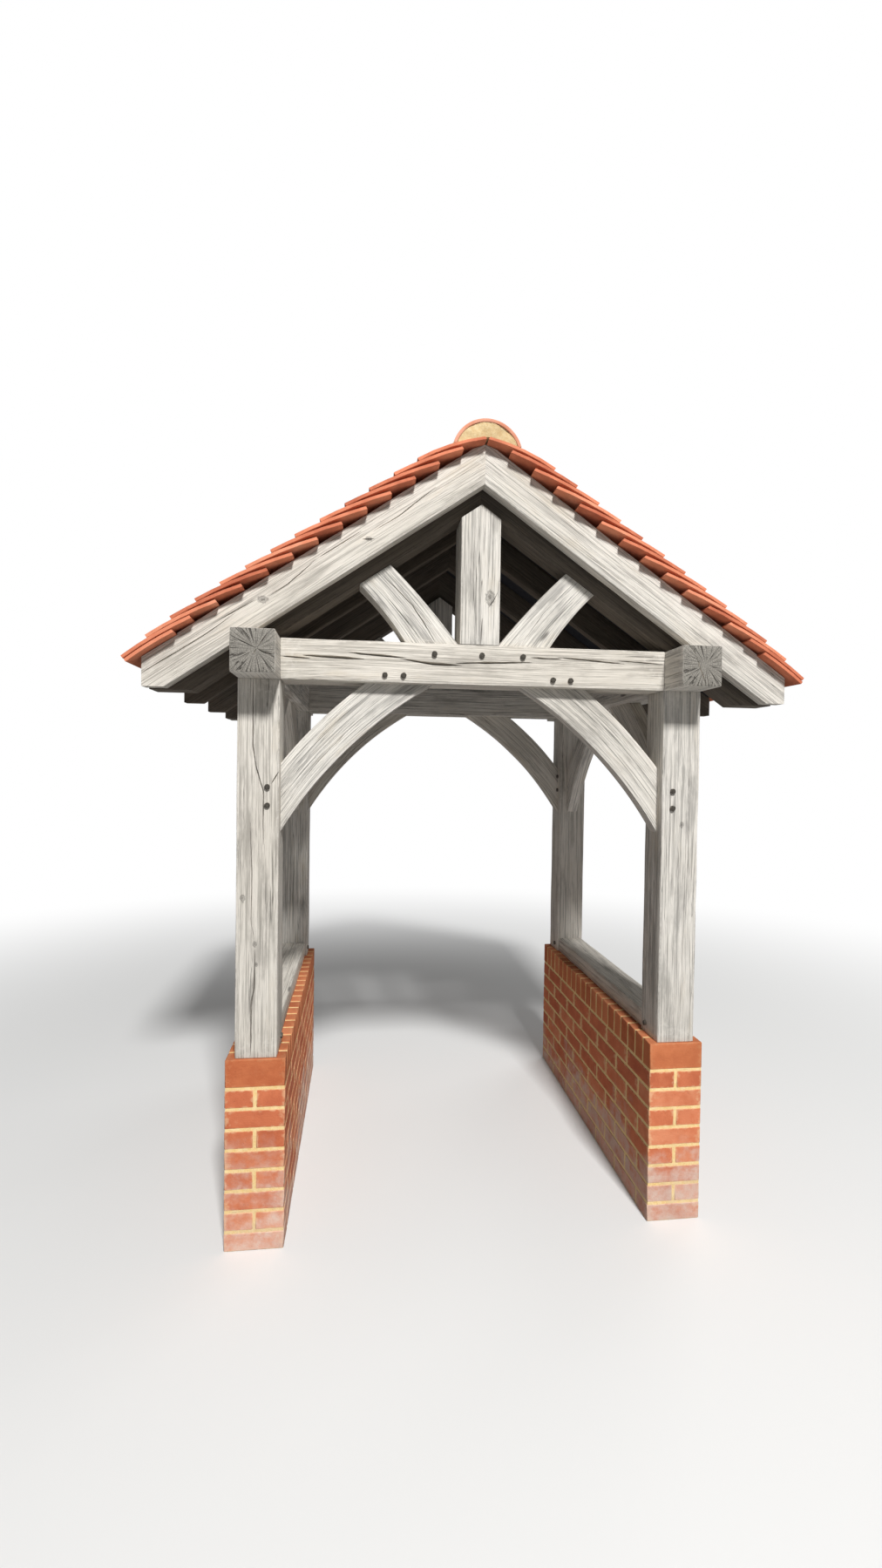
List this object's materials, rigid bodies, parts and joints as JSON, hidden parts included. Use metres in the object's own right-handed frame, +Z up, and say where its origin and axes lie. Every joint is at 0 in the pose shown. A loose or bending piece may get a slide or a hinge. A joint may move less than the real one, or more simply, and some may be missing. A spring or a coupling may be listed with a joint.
{
  "type": "lychgate",
  "caption": "Open oak-framed lychgate on low brick walls, with arched braces, king-post gables and a plain-tiled gable roof.",
  "frame": {"origin": "on the ground, at the middle of the plan", "axes": "+Z up; +X across the gate, to the right of someone facing it; +Y through the gate, away from that person"},
  "size_m": [2.4914, 1.77, 3.0197],
  "materials": {
    "oak_upright": "weathered silver-grey oak, grain upright",
    "oak_tie": "weathered silver-grey oak, grain across the gate",
    "oak_plate": "weathered silver-grey oak, grain through the gate",
    "oak_gable_brace": "weathered silver-grey oak, grain along the curve",
    "oak_side_brace": "weathered silver-grey oak, grain along the curve",
    "oak_strut": "weathered silver-grey oak, grain along the strut",
    "oak_left_rafter": "weathered silver-grey oak, grain up the left slope",
    "oak_right_rafter": "weathered silver-grey oak, grain up the right slope",
    "sawn_batten": "sawn softwood, brown",
    "brickwork": "orange-red facing brick with buff mortar",
    "coping_brick": "orange-red brick on edge with buff mortar",
    "clay_tile": "terracotta plain tile, unglazed",
    "ridge_clay": "terracotta half-round ridge tile, unglazed",
    "mortar": "buff mortar"
  },
  "bodies": {
    "root": {"left_wall": "brickwork", "right_wall": "brickwork", "left_coping": "coping_brick", "right_coping": "coping_brick", "left_sill_rail": "oak_plate", "right_sill_rail": "oak_plate", "front_left_post": "oak_upright", "front_right_post": "oak_upright", "rear_left_post": "oak_upright", "rear_right_post": "oak_upright", "left_wall_plate": "oak_plate", "right_wall_plate": "oak_plate", "front_tie_beam": "oak_tie", "rear_tie_beam": "oak_tie", "front_left_brace": "oak_gable_brace", "front_right_brace": "oak_gable_brace", "rear_left_brace": "oak_gable_brace", "rear_right_brace": "oak_gable_brace", "left_front_side_brace": "oak_side_brace", "left_rear_side_brace": "oak_side_brace", "right_front_side_brace": "oak_side_brace", "right_rear_side_brace": "oak_side_brace", "front_king_post": "oak_upright", "rear_king_post": "oak_upright", "front_left_strut": "oak_strut", "front_right_strut": "oak_strut", "rear_left_strut": "oak_strut", "rear_right_strut": "oak_strut", "front_left_barge_rafter": "oak_left_rafter", "front_right_barge_rafter": "oak_right_rafter", "rear_left_barge_rafter": "oak_left_rafter", "rear_right_barge_rafter": "oak_right_rafter", "left_rafters": "oak_left_rafter", "right_rafters": "oak_right_rafter", "left_battens": "sawn_batten", "right_battens": "sawn_batten", "left_tiles": "clay_tile", "right_tiles": "clay_tile", "ridge_tiles": "ridge_clay", "ridge_mortar": "mortar"}
  },
  "joints": []
}
